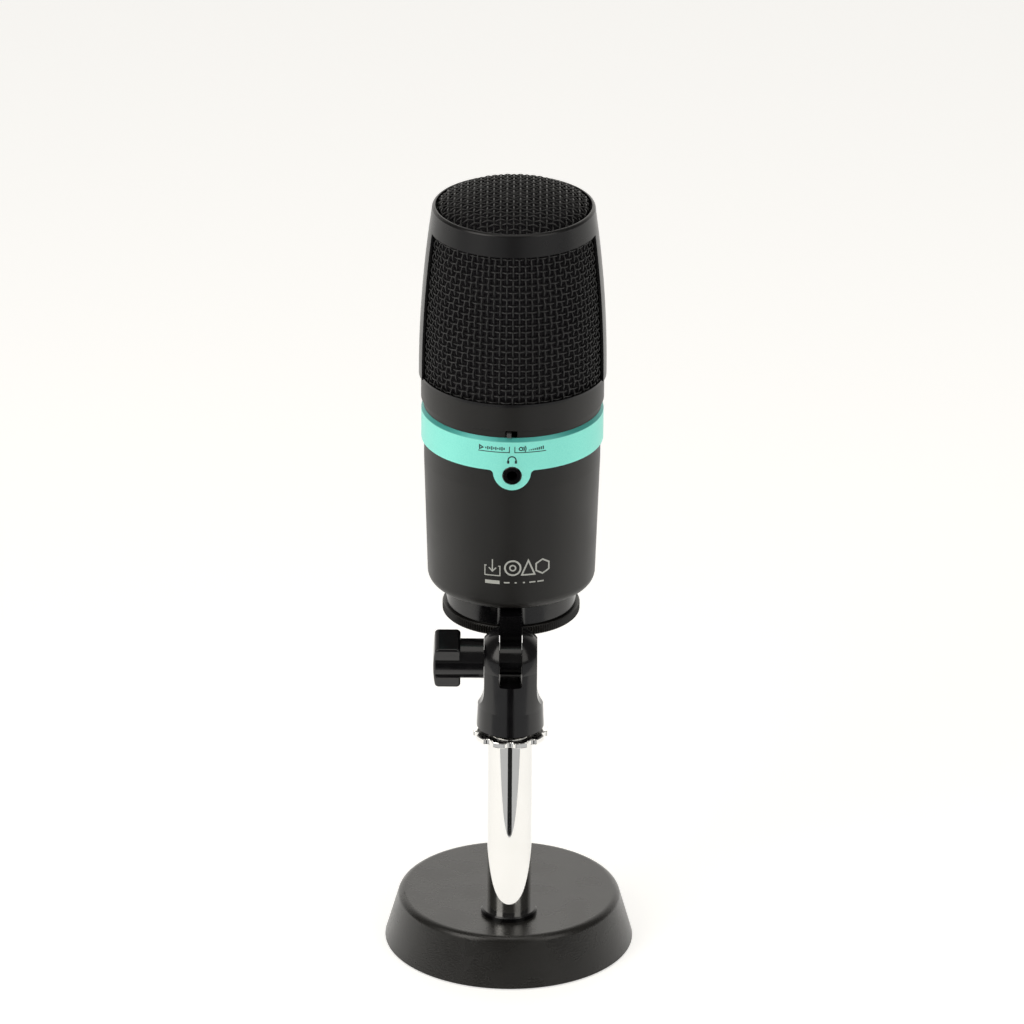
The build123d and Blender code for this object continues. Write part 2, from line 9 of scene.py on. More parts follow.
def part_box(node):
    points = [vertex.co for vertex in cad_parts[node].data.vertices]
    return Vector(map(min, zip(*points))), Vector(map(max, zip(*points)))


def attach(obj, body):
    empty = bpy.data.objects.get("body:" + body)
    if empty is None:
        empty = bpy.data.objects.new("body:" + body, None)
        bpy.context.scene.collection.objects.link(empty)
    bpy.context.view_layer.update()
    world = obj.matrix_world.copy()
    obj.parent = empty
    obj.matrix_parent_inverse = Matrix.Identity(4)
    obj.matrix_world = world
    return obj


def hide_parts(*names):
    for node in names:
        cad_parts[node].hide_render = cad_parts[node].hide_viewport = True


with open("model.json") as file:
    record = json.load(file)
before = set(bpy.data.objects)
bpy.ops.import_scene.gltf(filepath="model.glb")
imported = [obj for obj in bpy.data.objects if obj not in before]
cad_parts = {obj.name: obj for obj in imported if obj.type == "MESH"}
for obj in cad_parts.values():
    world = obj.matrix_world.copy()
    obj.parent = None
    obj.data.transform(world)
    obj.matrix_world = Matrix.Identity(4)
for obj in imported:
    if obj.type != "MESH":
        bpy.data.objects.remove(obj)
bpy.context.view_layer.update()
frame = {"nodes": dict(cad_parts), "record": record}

nodes = frame["nodes"]
mm = 0.001
housingLow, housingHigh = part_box("lower_housing")
micX = (housingLow.x + housingHigh.x) / 2
micY = (housingLow.y + housingHigh.y) / 2
for imported in list(bpy.data.materials):
    bpy.data.materials.remove(imported)                        # every node gets a finish of its own below
print("frame loaded,", len(nodes), "nodes; microphone axis at y", round(micY, 4))


# ---------- shader writing: a socket that takes part in sums, and one paint per finish

class Amount:
    def __init__(self, paint, socket):
        self.paint, self.socket = paint, socket

    def work(self, operation, *values):
        return self.paint.node("ShaderNodeMath", {"operation": operation}, dict(enumerate(values)))

    def __add__(self, other):
        return self.work("ADD", self, other)

    def __radd__(self, other):
        return self.work("ADD", other, self)

    def __sub__(self, other):
        return self.work("SUBTRACT", self, other)

    def __rsub__(self, other):
        return self.work("SUBTRACT", other, self)

    def __mul__(self, other):
        return self.work("MULTIPLY", self, other)

    def __rmul__(self, other):
        return self.work("MULTIPLY", other, self)

    def __truediv__(self, other):
        return self.work("DIVIDE", self, other)


class Paint:
    def __init__(self, name, **fixed):
        self.material = bpy.data.materials.new(name)
        self.material.use_nodes = True
        self.tree = self.material.node_tree
        self.surface = self.tree.nodes["Principled BSDF"]
        for socketName, value in fixed.items():
            self.surface.inputs[socketName.replace("_", " ")].default_value = value
        self.place = self.node("ShaderNodeTexCoord", {}, {}, "Object")

    # adds a node: settings first, then a value or a link on each socket
    def node(self, kind, settings, sockets, output=0):
        made = self.tree.nodes.new(kind)
        for key, value in settings.items():
            setattr(made, key, value)
        for key, value in sockets.items():
            self.feed(made.inputs[key], value)
        return Amount(self, made.outputs[output])

    def feed(self, socket, value):
        if isinstance(value, Amount):
            self.tree.links.new(value.socket, socket)
        else:
            socket.default_value = value

    def show(self, **what):
        for socketName, value in what.items():
            self.feed(self.surface.inputs[socketName.replace("_", " ")], value)

    # cloudy grain whose features are about `size` metres across, from 0 to 1
    def grain(self, size, detail=2.0, place=None):
        return self.node("ShaderNodeTexNoise", {}, {"Vector": place or self.place, "Scale": 1 / size,
                                                    "Detail": detail})

    # 0 below `low`, 1 above `high`
    def step(self, value, low, high, first=0.0, last=1.0):
        return self.node("ShaderNodeMapRange", {}, {"Value": value, "From Min": low, "From Max": high,
                                                    "To Min": first, "To Max": last})

    def between(self, mask, colourA, colourB):
        return self.node("ShaderNodeMix", {"data_type": "RGBA"}, {0: mask, 6: colourA, 7: colourB}, 2)

    def bump(self, height, depth, strength=1.0):
        return self.node("ShaderNodeBump", {}, {"Height": height, "Distance": depth, "Strength": strength})

    def parts(self):
        split = self.node("ShaderNodeSeparateXYZ", {}, {0: self.place})
        outputs = split.socket.node.outputs
        return [Amount(self, outputs[axis]) for axis in range(3)]


def shade(colour, factor=1.0):
    return tuple(channel * factor for channel in colour) + (1.0,)


# a moulded or painted finish: two tones in a cloud, a fine grain in the surface, uneven gloss
def plainFinish(name, s):
    paint = Paint(name, Metallic=s.get("metal", 0.0), Specular_IOR_Level=s.get("specular", 0.5),
                  Coat_Weight=s.get("coat", 0.0), Coat_Roughness=s.get("coatRough", 0.2))
    cloud = paint.grain(s.get("cloudSize", 18 * mm), 3.0)
    fine = paint.grain(s["grainSize"], s.get("grainDetail", 2.0))
    mix = paint.step(cloud, 0.3, 0.7) * 0.5 + fine * 0.5
    spread = s.get("spread", 0.12)
    colour = paint.between(mix, shade(s["colour"], 1 - spread), shade(s["colour"], 1 + spread))
    gloss = s.get("glossSpread", 0.06)
    paint.show(Base_Color=colour,
               Roughness=paint.step(cloud, 0.3, 0.7, s["rough"] - gloss, s["rough"] + gloss),
               Normal=paint.bump(fine, s["grainDepth"], s.get("grainStrength", 0.6)))
    return paint


finishes = {
    "body_paint": {"colour": (0.011, 0.0102, 0.009), "specular": 0.4, "rough": 0.42, "grainSize": 0.16 * mm,
                   "grainDepth": 0.006 * mm, "glossSpread": 0.03},
    "frame_paint": {"colour": (0.0055, 0.0052, 0.0056), "specular": 0.4, "rough": 0.28, "grainSize": 0.3 * mm,
                    "grainDepth": 0.004 * mm, "glossSpread": 0.04},
    "black_plastic": {"colour": (0.003, 0.0028, 0.0034), "rough": 0.17, "grainSize": 0.9 * mm,
                      "grainDepth": 0.002 * mm, "grainStrength": 0.3, "cloudSize": 7 * mm},
    "knob_plastic": {"colour": (0.003, 0.0028, 0.0035), "rough": 0.17, "grainSize": 0.9 * mm,
                     "grainDepth": 0.002 * mm, "grainStrength": 0.3, "cloudSize": 6 * mm},
    "body_plastic": {"colour": (0.02, 0.019, 0.0175), "rough": 0.42, "grainSize": 0.35 * mm,
                     "grainDepth": 0.006 * mm},
    "ring_plastic": {"colour": (0.013, 0.0118, 0.0105), "rough": 0.4, "grainSize": 0.3 * mm,
                     "grainDepth": 0.005 * mm},
    "pad_rubber": {"colour": (0.014, 0.014, 0.0135), "rough": 0.75, "grainSize": 0.6 * mm,
                   "grainDepth": 0.03 * mm},
    "iron": {"colour": (0.1, 0.1, 0.1), "rough": 0.6, "metal": 0.8, "grainSize": 0.8 * mm,
             "grainDepth": 0.05 * mm},
    "zinc_steel": {"colour": (0.55, 0.55, 0.54), "rough": 0.3, "metal": 1.0, "grainSize": 0.3 * mm,
                   "grainDepth": 0.003 * mm},
    "brass": {"colour": (0.72, 0.5, 0.2), "rough": 0.3, "metal": 1.0, "grainSize": 0.3 * mm,
              "grainDepth": 0.003 * mm},
    "nylon": {"colour": (0.008, 0.008, 0.0085), "rough": 0.5, "grainSize": 0.4 * mm,
              "grainDepth": 0.005 * mm},
    "circuit_board": {"colour": (0.012, 0.075, 0.03), "rough": 0.35, "grainSize": 1.2 * mm,
                      "grainDepth": 0.01 * mm, "spread": 0.25},
    "lever_plastic": {"colour": (0.05, 0.05, 0.05), "rough": 0.5, "grainSize": 0.2 * mm,
                      "grainDepth": 0.006 * mm},
    "print_light": {"colour": (0.42, 0.43, 0.40), "rough": 0.5, "grainSize": 0.12 * mm,
                    "grainDepth": 0.002 * mm, "spread": 0.1},
    "print_dark": {"colour": (0.004, 0.02, 0.02), "rough": 0.5, "grainSize": 0.12 * mm,
                   "grainDepth": 0.002 * mm, "spread": 0.15},
}
paints = {name: plainFinish(name, settings) for name, settings in finishes.items()}


# pebbled satin enamel on the cast base: a fine leathery grain that breaks the shine into points
def baseFinish():
    s = {"colour": (0.0125, 0.0118, 0.0105), "pebble": 0.6 * mm, "fine": 0.25 * mm, "rough": 0.26}
    paint = Paint("base_paint", Specular_IOR_Level=0.5)
    pebble = paint.grain(s["pebble"], 1.0)
    fine = paint.grain(s["fine"], 2.0)
    cloud = paint.grain(14 * mm, 3.0)
    relief = pebble * 0.7 + fine * 0.3
    paint.show(Base_Color=paint.between(fine, shade(s["colour"], 0.75), shade(s["colour"], 1.3)),
               Roughness=paint.step(cloud, 0.35, 0.65, s["rough"] - 0.03, s["rough"] + 0.05),
               Normal=paint.bump(relief, 0.09 * mm, 0.75))
    return paint


# turquoise metallic enamel: tiny flakes that differ in brightness and tilt, with a painted shade on the top
# bevel
def accentFinish():
    s = {"light": (0.34, 0.97, 0.84), "dark": (0.23, 0.86, 0.74), "bevel": (0.07, 0.42, 0.38),
         "bevelHeight": 1.35 * mm, "flake": 0.16 * mm, "rough": 0.42}
    paint = Paint("accent_paint", Metallic=0.3, Coat_Weight=0.15, Coat_Roughness=0.25)
    flake = paint.node("ShaderNodeTexVoronoi", {}, {"Vector": paint.place, "Scale": 1 / s["flake"]}, "Color")
    tone = paint.node("ShaderNodeSeparateColor", {}, {0: flake})
    grain = paint.grain(0.3 * mm, 2.0)
    face = paint.between(tone * 0.7 + grain * 0.3, shade(s["dark"]), shade(s["light"]))
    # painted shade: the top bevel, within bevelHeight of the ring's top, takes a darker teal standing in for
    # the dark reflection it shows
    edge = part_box("accent_ring")[1].z - s["bevelHeight"]
    onPaintedShadeBevel = paint.step(paint.parts()[2], edge - 0.15 * mm, edge + 0.15 * mm)
    paint.show(Base_Color=paint.between(onPaintedShadeBevel, face, shade(s["bevel"])),
               Roughness=paint.step(tone, 0.0, 1.0, s["rough"] - 0.05, s["rough"] + 0.05),
               Normal=paint.bump(tone * 0.5 + grain * 0.5, 0.012 * mm, 0.5))
    return paint


# polished chrome plate with faint smears and hairlines
def chromeFinish():
    paint = Paint("chrome", Metallic=1.0)
    smear = paint.grain(9 * mm, 4.0)
    hairline = paint.node("ShaderNodeMapping", {}, {0: paint.place, "Scale": (1.0, 1.0, 0.06)})
    lines = paint.grain(0.25 * mm, 2.0, hairline)
    paint.show(Base_Color=paint.between(smear, shade((0.8, 0.795, 0.775)), shade((0.86, 0.855, 0.84))),
               Roughness=paint.step(smear, 0.45, 0.7, 0.025, 0.075) + lines * 0.02,
               Normal=paint.bump(lines, 0.0006 * mm, 0.3))
    return paint


# blackened wire: satin enamel, a little thin and lighter where the wires cross on top
def wireFinish():
    paint = Paint("mesh_wire", Specular_IOR_Level=0.55)
    fine = paint.grain(0.18 * mm, 2.0)
    cloud = paint.grain(6 * mm, 2.0)
    paint.show(Base_Color=paint.between(cloud * 0.5 + fine * 0.5, shade((0.006, 0.0058, 0.0062)),
                                        shade((0.014, 0.0138, 0.0138))),
               Roughness=paint.step(fine, 0.3, 0.7, 0.26, 0.38),
               Normal=paint.bump(fine, 0.006 * mm, 0.5))
    return paint


# the black liner seen through the weave, faced with a fine net of its own: the net's threads
# run up the liner and round it, from the angle about the axis and the height
def linerFinish():
    s = {"pitch": 1.12 * mm, "radius": 30 * mm, "thread": 0.3}
    paint = Paint("foam", Specular_IOR_Level=0.15)
    x, y, z = paint.parts()
    angle = paint.node("ShaderNodeMath", {"operation": "ARCTAN2"}, {0: y - micY, 1: x - micX})
    around = angle * (s["radius"] / s["pitch"])
    up = z / s["pitch"]
    threads = [paint.node("ShaderNodeMath", {"operation": "PINGPONG"}, {0: value, 1: 0.5})
               for value in (around, up)]
    net = paint.node("ShaderNodeMath", {"operation": "MINIMUM"}, {0: threads[0], 1: threads[1]})
    thread = paint.step(net, s["thread"] * 0.4, s["thread"], 1.0, 0.0)
    foam = paint.grain(0.5 * mm, 3.0)
    paint.show(Base_Color=paint.between(thread * 0.7 + foam * 0.3, shade((0.0045, 0.0035, 0.0055)),
                                        shade((0.016, 0.0145, 0.0165))),
               Roughness=paint.step(thread, 0.0, 1.0, 0.95, 0.6),
               Normal=paint.bump(thread + foam * 0.5, 0.12 * mm, 0.6))
    return paint


# the clear light pipe, with the green lamp behind it showing through
def lampFinish():
    paint = Paint("clear_plastic", Coat_Weight=1.0, Coat_Roughness=0.05, Roughness=0.25,
                  Emission_Strength=0.7)
    glow = paint.grain(1.2 * mm, 1.0)
    paint.show(Base_Color=paint.between(glow, shade((0.2, 0.5, 0.42)), shade((0.4, 0.75, 0.65))),
               Emission_Color=paint.between(glow, shade((0.05, 0.5, 0.35)), shade((0.12, 0.75, 0.55))))
    return paint


for special in (baseFinish, accentFinish, chromeFinish, wireFinish, linerFinish, lampFinish):
    made = special()
    paints[made.material.name] = made

for part in frame["record"]["subparts"]:
    skin = nodes[part["node"]].data
    skin.materials.clear()
    skin.materials.append(paints[part["material_slot"]].material)


# ---------- new pieces: surfaces worked out as whole arrays

# puts points and faces of one size into a new mesh, rides it and gives it its finish
def addPiece(name, points, faces, body, slotName, smooth=True):
    mesh = bpy.data.meshes.new(name)
    mesh.vertices.add(len(points))
    mesh.vertices.foreach_set("co", np.ascontiguousarray(points, dtype=np.float32).ravel())
    sizes = np.concatenate([np.full(len(group), group.shape[1]) for group in faces])
    corners = np.concatenate([group.ravel() for group in faces])
    mesh.loops.add(len(corners))
    mesh.loops.foreach_set("vertex_index", corners.astype(np.int32))
    mesh.polygons.add(len(sizes))
    mesh.polygons.foreach_set("loop_start", (np.cumsum(sizes) - sizes).astype(np.int32))
    mesh.polygons.foreach_set("use_smooth", np.full(len(sizes), smooth))
    mesh.update(calc_edges=True)
    mesh.validate()
    mesh.materials.append(paints[slotName].material)
    piece = bpy.data.objects.new(name, mesh)
    bpy.context.scene.collection.objects.link(piece)
    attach(piece, body)
    return piece


# corner points of a node's faces that look away from the microphone's axis
def outerPoints(name):
    mesh = nodes[name].data
    points = np.empty(len(mesh.vertices) * 3, np.float32)
    normals = np.empty(len(mesh.polygons) * 3, np.float32)
    corners = np.empty(len(mesh.loops), np.int32)
    mesh.vertices.foreach_get("co", points)
    mesh.polygons.foreach_get("normal", normals)
    mesh.loops.foreach_get("vertex_index", corners)
    points, normals, corners = points.reshape(-1, 3), normals.reshape(-1, 3), corners.reshape(-1, 3)
    middle = points[corners].mean(1) - (micX, micY, 0)
    reach = np.hypot(middle[:, 0], middle[:, 1]) + 1e-9
    away = (middle[:, 0] * normals[:, 0] + middle[:, 1] * normals[:, 1]) / reach
    return points[np.unique(corners[away > 0.5])]


# outer radius at a height: a smooth curve through the node's outer corner points
def sideCurve(name, degree=3, low=None, high=None):
    points = outerPoints(name)
    if low is not None:
        points = points[(points[:, 2] > low) & (points[:, 2] < high)]
    radius = np.hypot(points[:, 0] - micX, points[:, 1] - micY)
    return np.polynomial.Polynomial.fit(points[:, 2], radius, degree)


# tubes along many paths at once: about each path point stands a ring of `sides` points,
# path + wire * (cos(turn) * outward + sin(turn) * sideways); open tubes end in a small cone
def tubes(paths, outward, wire, sides, closed):
    count, length = paths.shape[:2]
    along = np.roll(paths, -1, 1) - np.roll(paths, 1, 1) if closed else np.gradient(paths, axis=1)
    along /= np.linalg.norm(along, axis=2, keepdims=True)
    sideways = np.cross(along, outward)
    sideways /= np.linalg.norm(sideways, axis=2, keepdims=True)
    upright = np.cross(sideways, along)
    turn = np.arange(sides) * 2 * math.pi / sides
    ring = (np.cos(turn)[None, None, :, None] * upright[:, :, None]
            + np.sin(turn)[None, None, :, None] * sideways[:, :, None])
    points = (paths[:, :, None] + wire / 2 * ring).reshape(-1, 3)
    spans = length if closed else length - 1
    first = (np.arange(count) * length * sides)[:, None, None]
    here = first + (np.arange(spans) * sides)[None, :, None] + np.arange(sides)[None, None, :]
    later = first + ((np.arange(spans) + 1) % length * sides)[None, :, None] + np.arange(sides)[None, None, :]
    quads = np.stack([here, later, np.roll(later, -1, 2), np.roll(here, -1, 2)], -1).reshape(-1, 4)
    if closed:
        return points, [quads]
    tips = np.concatenate([paths[:, 0] - along[:, 0] * wire * 0.2, paths[:, -1] + along[:, -1] * wire * 0.2])
    tipStart = len(points) + np.arange(count)
    startRing = first[:, 0] + np.arange(sides)[None, :]
    endRing = startRing + (length - 1) * sides
    caps = [np.stack([np.broadcast_to(tipStart[:, None], startRing.shape), startRing,
                      np.roll(startRing, -1, 1)], -1).reshape(-1, 3),
            np.stack([np.broadcast_to(tipStart[:, None] + count, endRing.shape), np.roll(endRing, -1, 1),
                      endRing], -1).reshape(-1, 3)]
    return np.concatenate([points, tips]), [quads] + caps


# ---------- woven wire round the grille
weave = {"wire": 0.55 * mm, "uprights": 84, "hoops": 23, "steps": 4, "sides": 8, "crimp": 0.62}


# plain weave on a barrel: an upright wire leaves the middle surface by crimp * cos(pi * hoop number),
# the hoop it meets leaves it by as much the other way, and the sign changes from wire to wire
def barrelWeave():
    low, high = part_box("body_mesh")[0].z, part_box("body_mesh")[1].z
    curve = sideCurve("body_mesh")
    crimp = weave["wire"] * weave["crimp"]

    def middle(height):
        return curve(height) - weave["wire"] / 2 - crimp

    def onBarrel(angle, height, lift):
        slope = curve.deriv()(height)
        tilt = np.sqrt(1 + slope ** 2)
        outward = np.stack([np.cos(angle) / tilt, np.sin(angle) / tilt,
                            np.broadcast_to(-slope / tilt, angle.shape)], -1)
        flat = np.stack([micX + middle(height) * np.cos(angle), micY + middle(height) * np.sin(angle),
                         np.broadcast_to(height, angle.shape)], -1)
        return flat + outward * lift[..., None], outward

    pitch = (high - low) / weave["hoops"]
    crossing = np.linspace(-0.5, weave["hoops"] - 0.5, weave["hoops"] * weave["steps"] + 1)
    sign = np.where(np.arange(weave["uprights"]) % 2, 1.0, -1.0)[:, None]
    angle = (np.arange(weave["uprights"]) * 2 * math.pi / weave["uprights"])[:, None]
    height = low + (crossing[None, :] + 0.5) * pitch
    shape = (weave["uprights"], len(crossing))
    lift = sign * crimp * np.cos(math.pi * crossing)[None, :]
    paths, outward = onBarrel(np.broadcast_to(angle, shape), np.broadcast_to(height, shape), lift)
    points, faces = tubes(paths, outward, weave["wire"], weave["sides"], False)
    uprights = addPiece("grille_upright_wires", points, faces, "microphone", "mesh_wire")

    number = np.arange(weave["hoops"])
    level = (low + (number + 0.5) * pitch)[:, None]
    around = np.arange(weave["uprights"] * weave["steps"]) / weave["steps"]
    shape = (weave["hoops"], len(around))
    sign = np.where(number % 2, 1.0, -1.0)[:, None]
    lift = -sign * crimp * np.cos(math.pi * around)[None, :]
    paths, outward = onBarrel(np.broadcast_to(around * 2 * math.pi / weave["uprights"], shape),
                              np.broadcast_to(level, shape), lift)
    points, faces = tubes(paths, outward, weave["wire"], weave["sides"], True)
    hoops = addPiece("grille_hoop_wires", points, faces, "microphone", "mesh_wire")
    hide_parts("body_mesh")
    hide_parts("body_mesh")


# ---------- woven wire of the domed cap
capWeave = {"pitch": 2.3 * mm, "steps": 4, "edge": 0.15 * mm, "rise": 7.0 * mm, "power": 2.3}


# plain weave pressed into a dome: straight rows along x and along y in plan, laid on the dome's height
# for their distance from the axis, and crimped over and under one another along the dome's normal;
# the dome's height is top - rise + rise * (1 - share ** power) ** (1 / power), share = distance / radius
def domeWeave():
    wire, crimp = weave["wire"], weave["wire"] * weave["crimp"]
    low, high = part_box("cap_mesh")
    radius, rise, power = (high.x - low.x) / 2, capWeave["rise"], capWeave["power"]
    reach = radius - capWeave["edge"]
    rows = int(reach / capWeave["pitch"])
    number = np.arange(-rows, rows + 1)
    offset = number * capWeave["pitch"]
    half = np.sqrt(reach ** 2 - offset ** 2)
    steps = 2 * rows * capWeave["steps"] + 1
    along = np.linspace(-1, 1, steps)[None, :] * half[:, None]
    across = np.broadcast_to(offset[:, None], along.shape)
    distance = np.hypot(along, across)
    share = distance / radius
    left = 1 - share ** power
    height = high.z - rise + rise * left ** (1 / power)
    slope = -rise / radius * share ** (power - 1) * left ** (1 / power - 1)
    unit = distance + 1e-9
    tilt = np.sqrt(1 + slope ** 2)
    for name, alongX in (("cap_wires_side_to_side", True), ("cap_wires_front_to_back", False)):
        x, y = (along, across) if alongX else (across, along)
        outward = np.stack([-slope * x / unit / tilt, -slope * y / unit / tilt, 1 / tilt], -1)
        sign = np.where(number % 2, 1.0, -1.0)[:, None] * (1 if alongX else -1)
        lift = sign * crimp * np.cos(math.pi * along / capWeave["pitch"]) - wire / 2 - crimp
        paths = np.stack([micX + x, micY + y, height], -1) + outward * lift[..., None]
        made, faces = tubes(paths, outward, wire, weave["sides"], False)
        piece = addPiece(name, made, faces, "microphone", "mesh_wire")
        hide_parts("cap_mesh")


barrelWeave()
domeWeave()
print("woven wire made")


# ---------- printed signs
ink = {"lift": 0.035 * mm, "depth": 0.05 * mm, "run": 0.6}


# a flat stroke: points left and right of a line at half its width, on both faces of the ink
def stroke(line, width):
    line = np.asarray(line, float)
    closed = np.allclose(line[0], line[-1])
    if closed:
        line = line[:-1]
        before, after = line - np.roll(line, 1, 0), np.roll(line, -1, 0) - line
    else:
        gaps = np.diff(line, axis=0)
        before, after = np.vstack([gaps[:1], gaps]), np.vstack([gaps, gaps[-1:]])
    before = before / np.linalg.norm(before, axis=1, keepdims=True)
    after = after / np.linalg.norm(after, axis=1, keepdims=True)
    bisector = before + after
    bisector /= np.linalg.norm(bisector, axis=1, keepdims=True)
    sharpest = 0.35                                            # keeps the mitre at a tight corner short
    lean = np.maximum((bisector * after).sum(1), sharpest)
    mitre = np.stack([-bisector[:, 1], bisector[:, 0]], 1) / lean[:, None]
    left, right = line + mitre * width / 2, line - mitre * width / 2
    count = len(line)
    flat = np.concatenate([right, left, left, right])          # right and left on top, then underneath
    high = np.repeat([1.0, 1.0, 0.0, 0.0], count)
    here = np.arange(count if closed else count - 1)
    later = (here + 1) % count
    sides = [np.stack([here + a * count, later + a * count, later + b * count, here + b * count], 1)
             for a, b in ((0, 1), (1, 2), (2, 3), (3, 0))]
    if not closed:
        sides.append(np.array([[0, count, 2 * count, 3 * count],
                               [4 * count - 1, 3 * count - 1, 2 * count - 1, count - 1]]))
    return flat, high, np.concatenate(sides)


# an arc of a circle as a line of points, angles in degrees
def arc(middle, radius, start, end, pieces=24):
    turn = np.radians(np.linspace(start, end, pieces + 1))
    return np.stack([middle[0] + radius * np.cos(turn), middle[1] + radius * np.sin(turn)], 1)


def bar(x, low, high):
    return [(x, low), (x, high)]


# strokes on a round wall: the angle about the axis is facing + across / radius, the height is up
def printSign(name, strokes, facing, radiusAt, slotName):
    points, faces, start = [], [], 0
    for line, width in strokes:
        line = np.asarray(line, float)
        gaps = np.linalg.norm(np.diff(line, axis=0), axis=1)
        fine = [line[:1]]
        for index, gap in enumerate(gaps):
            parts = max(1, int(gap / ink["run"]))              # long runs are cut to follow the wall
            share = (np.arange(parts) + 1)[:, None] / parts
            fine.append(line[index] + share * (line[index + 1] - line[index]))
        flat, high, quads = stroke(np.concatenate(fine) * mm, width * mm)
        radius = radiusAt(flat[:, 1]) + ink["lift"] - ink["depth"] * (1 - high)
        angle = facing + flat[:, 0] / radius
        points.append(np.stack([micX + radius * np.cos(angle), micY + radius * np.sin(angle), flat[:, 1]], 1))
        faces.append(quads + start)
        start += len(flat)
    addPiece(name, np.concatenate(points), [np.concatenate(faces)], "microphone", slotName, smooth=False)


jackSide, controlSide = -math.pi / 2, math.pi / 2
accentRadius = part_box("accent_ring")[1].x - micX


def accentSigns():
    s = {"phones": (0.0, 191.5), "rule": 194.3, "tick": 2.2, "gap": 0.95, "end": 12.1, "line": 0.28}
    x, z = s["phones"]
    strokes = [(arc((x, z - 0.15), 1.4, 205, -25), 0.42),
               (bar(x - 1.35, z - 1.35, z - 0.25), 0.75), (bar(x + 1.35, z - 1.35, z - 0.25), 0.75)]
    for side in (-1, 1):
        strokes.append(([(side * s["end"], s["rule"]), (side * s["gap"], s["rule"]),
                         (side * s["gap"], s["rule"] + s["tick"])][::side], s["line"]))
    left, right, foot = -11.6, 3.1, s["rule"] + 0.65
    strokes.append(([(left, foot), (left + 1.25, foot + 0.7), (left, foot + 1.4), (left, foot)], 0.4))
    strokes += [(bar(left + 2.3 + 0.72 * n, foot + 0.7 - tall, foot + 0.7 + tall), 0.42)
                for n, tall in enumerate((0.3, 0.62, 0.42, 0.7, 0.36, 0.6, 0.26, 0.5, 0.68, 0.4))]
    strokes.append((arc((right, foot + 0.7), 0.62, 0, 360, 20), 0.38))
    strokes += [(arc((right, foot + 0.7), 1.15 + 0.6 * n, -38, 38, 10), 0.36) for n in range(2)]
    strokes += [(bar(right + 2.9 + 0.72 * n, foot + 0.02, foot + 0.3 + 0.14 * n), 0.42) for n in range(8)]
    printSign("accent_signs", strokes, jackSide, lambda height: accentRadius + 0 * height, "print_dark")


def housingSigns():
    s = {"top": 152.4, "low": 146.2, "footBar": 143.6, "left": -9.4}
    wall = sideCurve("lower_housing", 2, 0.137, 0.178)
    middle = (s["top"] + s["low"]) / 2
    tall = s["top"] - s["low"]
    x = s["left"]
    strokes = [  # a box with an arrow going in, and a bar under it
        ([(x + 0.6, middle + 0.6), (x, middle + 0.6), (x, s["low"]), (x + 5.4, s["low"]),
          (x + 5.4, middle + 0.6), (x + 4.8, middle + 0.6)], 0.38),
        (bar(x + 2.7, middle - 1.3, s["top"]), 0.42),
        ([(x + 1.4, middle - 0.1), (x + 2.7, middle - 1.5), (x + 4.0, middle - 0.1)], 0.42),
        ([(x + 0.1, s["footBar"]), (x + 5.3, s["footBar"])], 1.35)]
    x = -1.4 + tall / 2 - 1.2
    strokes.append((arc((x, middle), tall / 2 - 0.35, 0, 360, 40), 0.62))
    strokes.append((arc((x, middle), tall / 6, 0, 360, 16), 0.5))
    x += 5.5
    strokes.append(([(x - 2.3, s["low"] + 0.4), (x + 2.3, s["low"] + 0.4), (x, s["top"] - 0.3),
                     (x - 2.3, s["low"] + 0.4)], 0.56))
    x += 5.2
    strokes.append((arc((x, middle), tall / 2 - 0.35, 30, 390, 6), 0.56))
    ends = [-2.6, -0.6, 1.2, 1.9, 4.1, 4.8, 6.4, 8.6, 9.3, 11.7]
    strokes += [([(a, s["footBar"]), (b, s["footBar"])], 0.5) for a, b in zip(ends[::2], ends[1::2])]
    printSign("housing_signs", strokes, jackSide, wall, "print_light")


# tick marks round the volume knob, a minus and a plus, and a struck-out microphone by the mute button
def controlSigns():
    wall = sideCurve("lower_housing", 2, 0.137, 0.178)
    knobLow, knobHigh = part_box("volume_knob")
    knobZ = (knobLow.z + knobHigh.z) / 2 / mm
    knobR = (knobHigh.z - knobLow.z) / 2 / mm
    buttonLow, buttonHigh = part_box("mute_button")
    buttonZ = (buttonLow.z + buttonHigh.z) / 2 / mm
    strokes = []
    for number, angle in enumerate(np.radians(np.linspace(230, -50, 11))):
        reach = 2.0 if number in (0, 5, 10) else 1.3
        start = knobR + 1.3
        tick = [(far * math.cos(angle), knobZ + far * math.sin(angle)) for far in (start, start + reach)]
        strokes.append((tick, 0.36))
    low = knobZ - knobR - 1.2
    strokes += [([(-9.6, low), (-7.8, low)], 0.4), ([(7.8, low), (9.6, low)], 0.4),
                (bar(8.7, low - 0.9, low + 0.9), 0.4)]
    x, z = 8.6, buttonZ
    strokes += [([(x - 0.75, z + 0.3), (x - 0.75, z + 1.4)] + list(arc((x, z + 1.4), 0.75, 180, 0, 10))[1:]
                 + [(x + 0.75, z + 0.3)] + list(arc((x, z + 0.3), 0.75, 0, -180, 10))[1:], 0.3),
                (arc((x, z + 0.2), 1.45, 180, 360, 16), 0.3), (bar(x, z - 2.2, z - 1.25), 0.3),
                ([(x - 0.8, z - 2.2), (x + 0.8, z - 2.2)], 0.3),
                ([(x - 1.9, z - 1.7), (x + 1.9, z + 2.3)], 0.3)]
    printSign("control_signs", strokes, controlSide, wall, "print_light")


accentSigns()
housingSigns()
controlSigns()
print("signs printed")


# ---------- floor, light and camera

